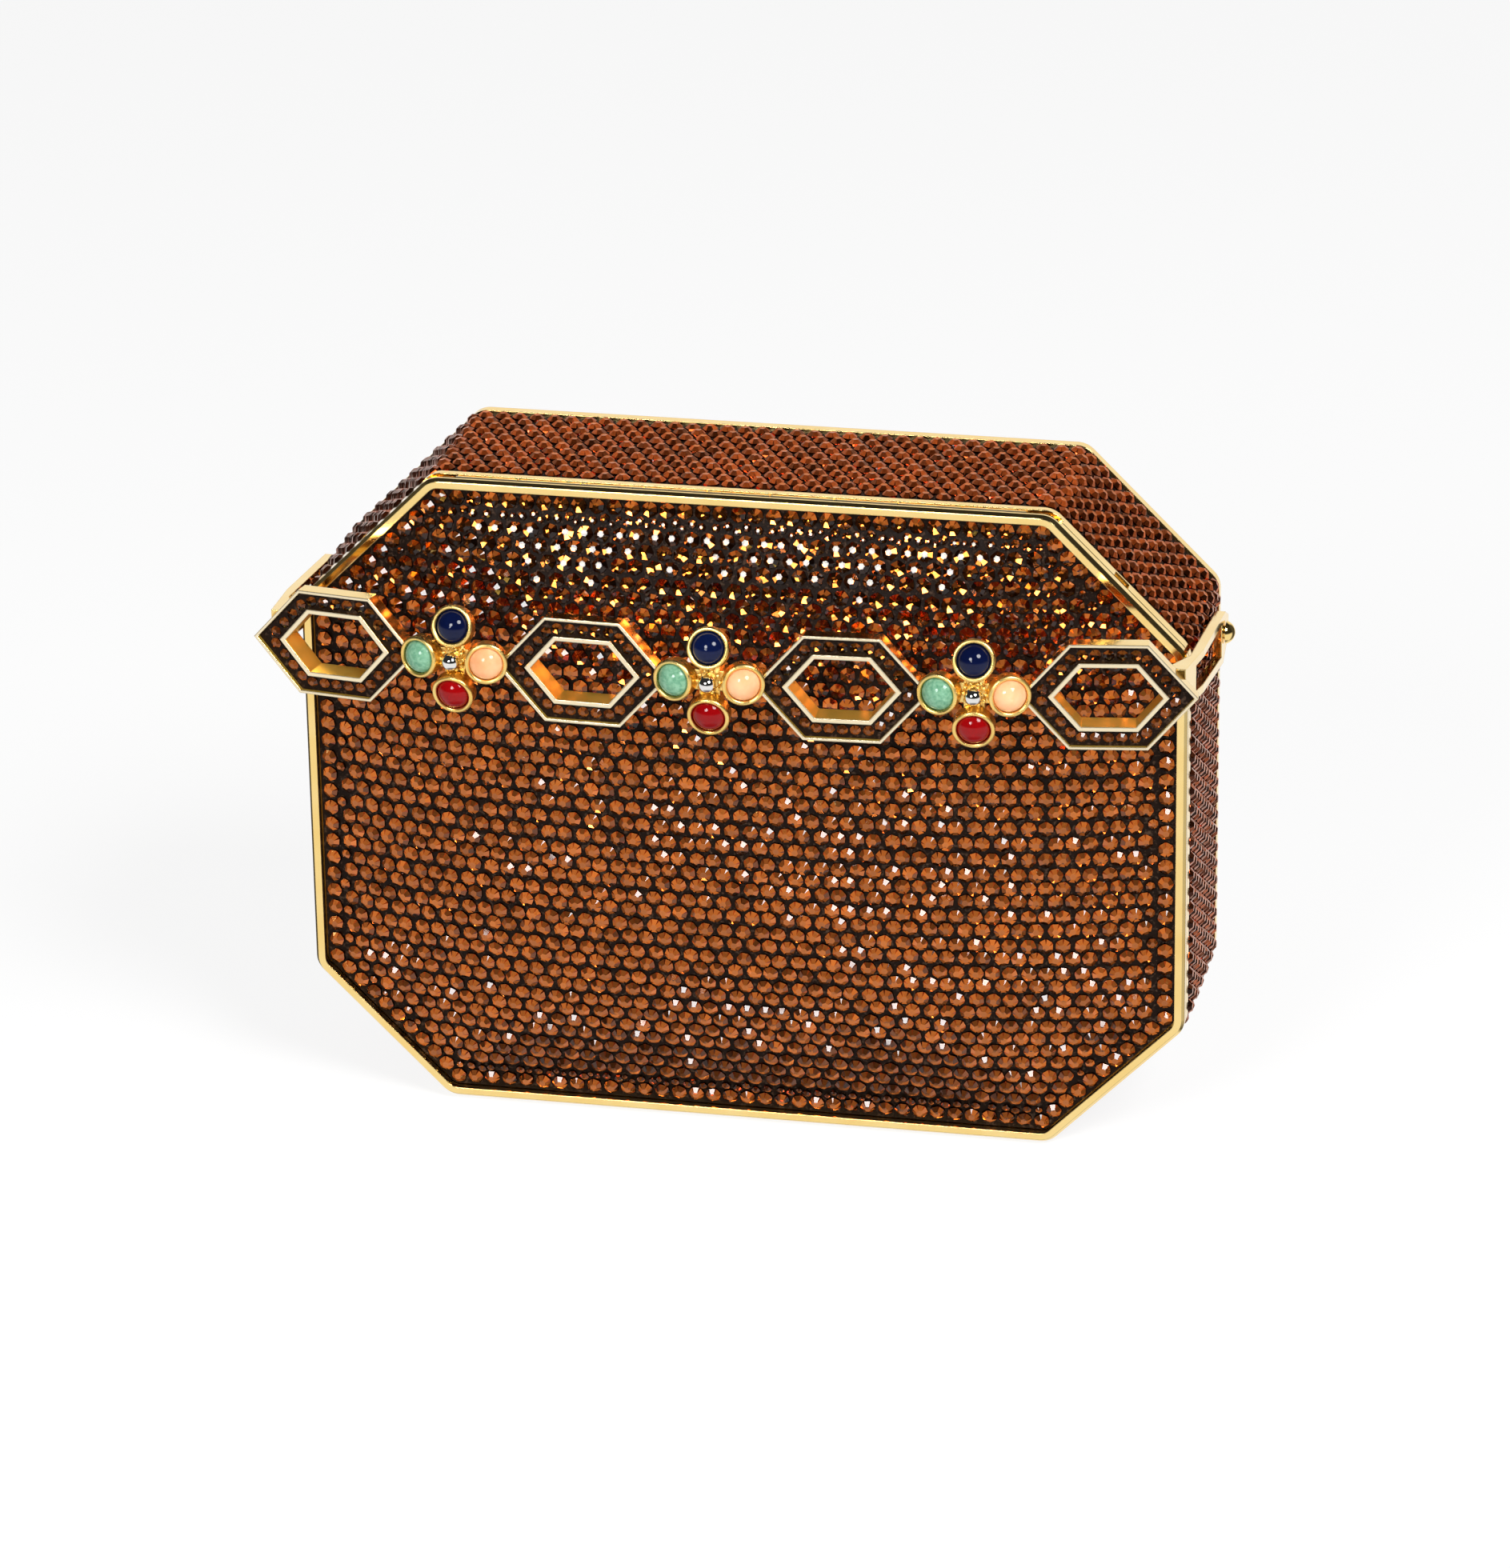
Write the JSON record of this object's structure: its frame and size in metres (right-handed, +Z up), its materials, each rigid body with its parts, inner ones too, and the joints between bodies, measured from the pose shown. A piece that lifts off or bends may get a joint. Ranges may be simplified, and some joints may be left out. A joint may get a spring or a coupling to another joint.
{
  "type": "minaudiere",
  "caption": "Octagonal hard evening box covered in crystals, with a domed front cover on a top hinge and a jewelled closing bar on side arms that lifts with it.",
  "frame": {"origin": "bottom centre of the whole part's box, on the surface it stands on", "axes": "+Z up, the stone-set front faces -Y, +X to the right seen from the front"},
  "size_m": [0.1586, 0.0676, 0.1138],
  "materials": {
    "gold": "polished gold plate",
    "brass_sheet": "plain sheet",
    "brown_crystal": "faceted, foiled",
    "lining_leather": "metallic leather",
    "pin_steel": "drawn wire",
    "silver_bead": "polished",
    "blue_cabochon": "gloss",
    "red_cabochon": "gloss",
    "green_cabochon": "gloss",
    "peach_cabochon": "gloss"
  },
  "bodies": {
    "case": {"case_shell": "brass_sheet", "case_front_rim": "gold", "case_back_rim": "gold", "case_back_panel": "brass_sheet", "band_stones": "brown_crystal", "back_stones": "brown_crystal", "case_lining": "lining_leather", "hinge_knuckles_case": "gold", "hinge_pin": "pin_steel", "pivot_stud_left": "gold", "pivot_stud_right": "gold", "pivot_washer_left": "gold", "pivot_washer_right": "gold", "chain_eye_left": "gold", "chain_eye_right": "gold"},
    "front_cover": {"cover_frame": "gold", "cover_shell": "brass_sheet", "cover_stones": "brown_crystal", "cover_lining": "lining_leather", "hinge_knuckles_cover": "gold"},
    "closing_bar": {"link_1": "gold", "link_2": "gold", "link_3": "gold", "link_4": "gold", "link_stones_1": "brown_crystal", "link_stones_2": "brown_crystal", "link_stones_3": "brown_crystal", "link_stones_4": "brown_crystal", "flower_1": "gold", "flower_2": "gold", "flower_3": "gold", "cabochons_blue": "blue_cabochon", "cabochons_red": "red_cabochon", "cabochons_green": "green_cabochon", "cabochons_peach": "peach_cabochon", "flower_beads": "silver_bead", "arm_left": "gold", "arm_right": "gold"}
  },
  "joints": [
    {"name": "cover_open", "type": "hinge", "parent": "case", "child": "front_cover", "pos_m": [0, -0.00654, 0.1125], "axis": [-1, 0, 0], "range_deg": [0, 75]},
    {"name": "bar_swing", "type": "hinge", "parent": "case", "child": "closing_bar", "pos_m": [0, 0.01576, 0.0855], "axis": [-1, 0, 0], "range_deg": [0, 112.5]}
  ],
  "couplings": [
    {"joint": "bar_swing", "follows": "cover_open", "ratio": 1.5}
  ]
}
